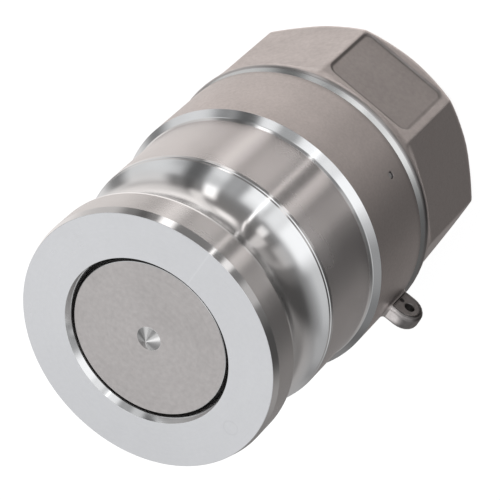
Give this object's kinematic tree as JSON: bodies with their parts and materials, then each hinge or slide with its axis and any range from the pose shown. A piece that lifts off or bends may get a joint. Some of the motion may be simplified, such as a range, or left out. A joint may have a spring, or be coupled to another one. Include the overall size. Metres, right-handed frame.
{
  "type": "dry break coupling",
  "caption": "Self-closing cam and groove adaptor with a sprung poppet in its nose and a female pipe thread in its octagonal tail.",
  "frame": {"origin": "centre of the tail's end face, on the coupling's axis", "axes": "+Z runs along the axis from the threaded tail out of the nose, +X passes through the lug, and +Y passes close to the recessed panel"},
  "size_m": [0.0746, 0.0676, 0.099],
  "materials": {
    "turned_steel": "turned and polished stainless steel",
    "cast_steel": "investment cast stainless steel, bead blasted matt",
    "fastener_steel": "plain machined stainless steel",
    "spring_steel": "drawn stainless spring wire",
    "seal_rubber": "matt black moulded rubber",
    "bearing_polymer": "matt off-white bearing polymer"
  },
  "bodies": {
    "housing": {"nose_body": "turned_steel", "tail_socket": "cast_steel", "body_joint_seal": "seal_rubber", "joint_lock_pin": "fastener_steel", "guide_spider": "cast_steel", "front_guide_bush": "bearing_polymer", "rear_guide_bush": "bearing_polymer", "spring_seat": "turned_steel", "return_spring": "spring_steel"},
    "poppet": {"poppet_valve": "turned_steel", "poppet_seal": "seal_rubber", "seal_retainer": "turned_steel", "retainer_washer": "fastener_steel", "retainer_nut": "fastener_steel", "stop_washer": "fastener_steel", "stop_nut": "fastener_steel"}
  },
  "joints": [
    {"name": "poppet_slide", "type": "slide", "parent": "housing", "child": "poppet", "axis": [0, 0, -1], "range_m": [0, 0.022], "stiffness_N_per_m": 4000, "springref_m": -0.012, "deforming": ["return_spring"]}
  ]
}
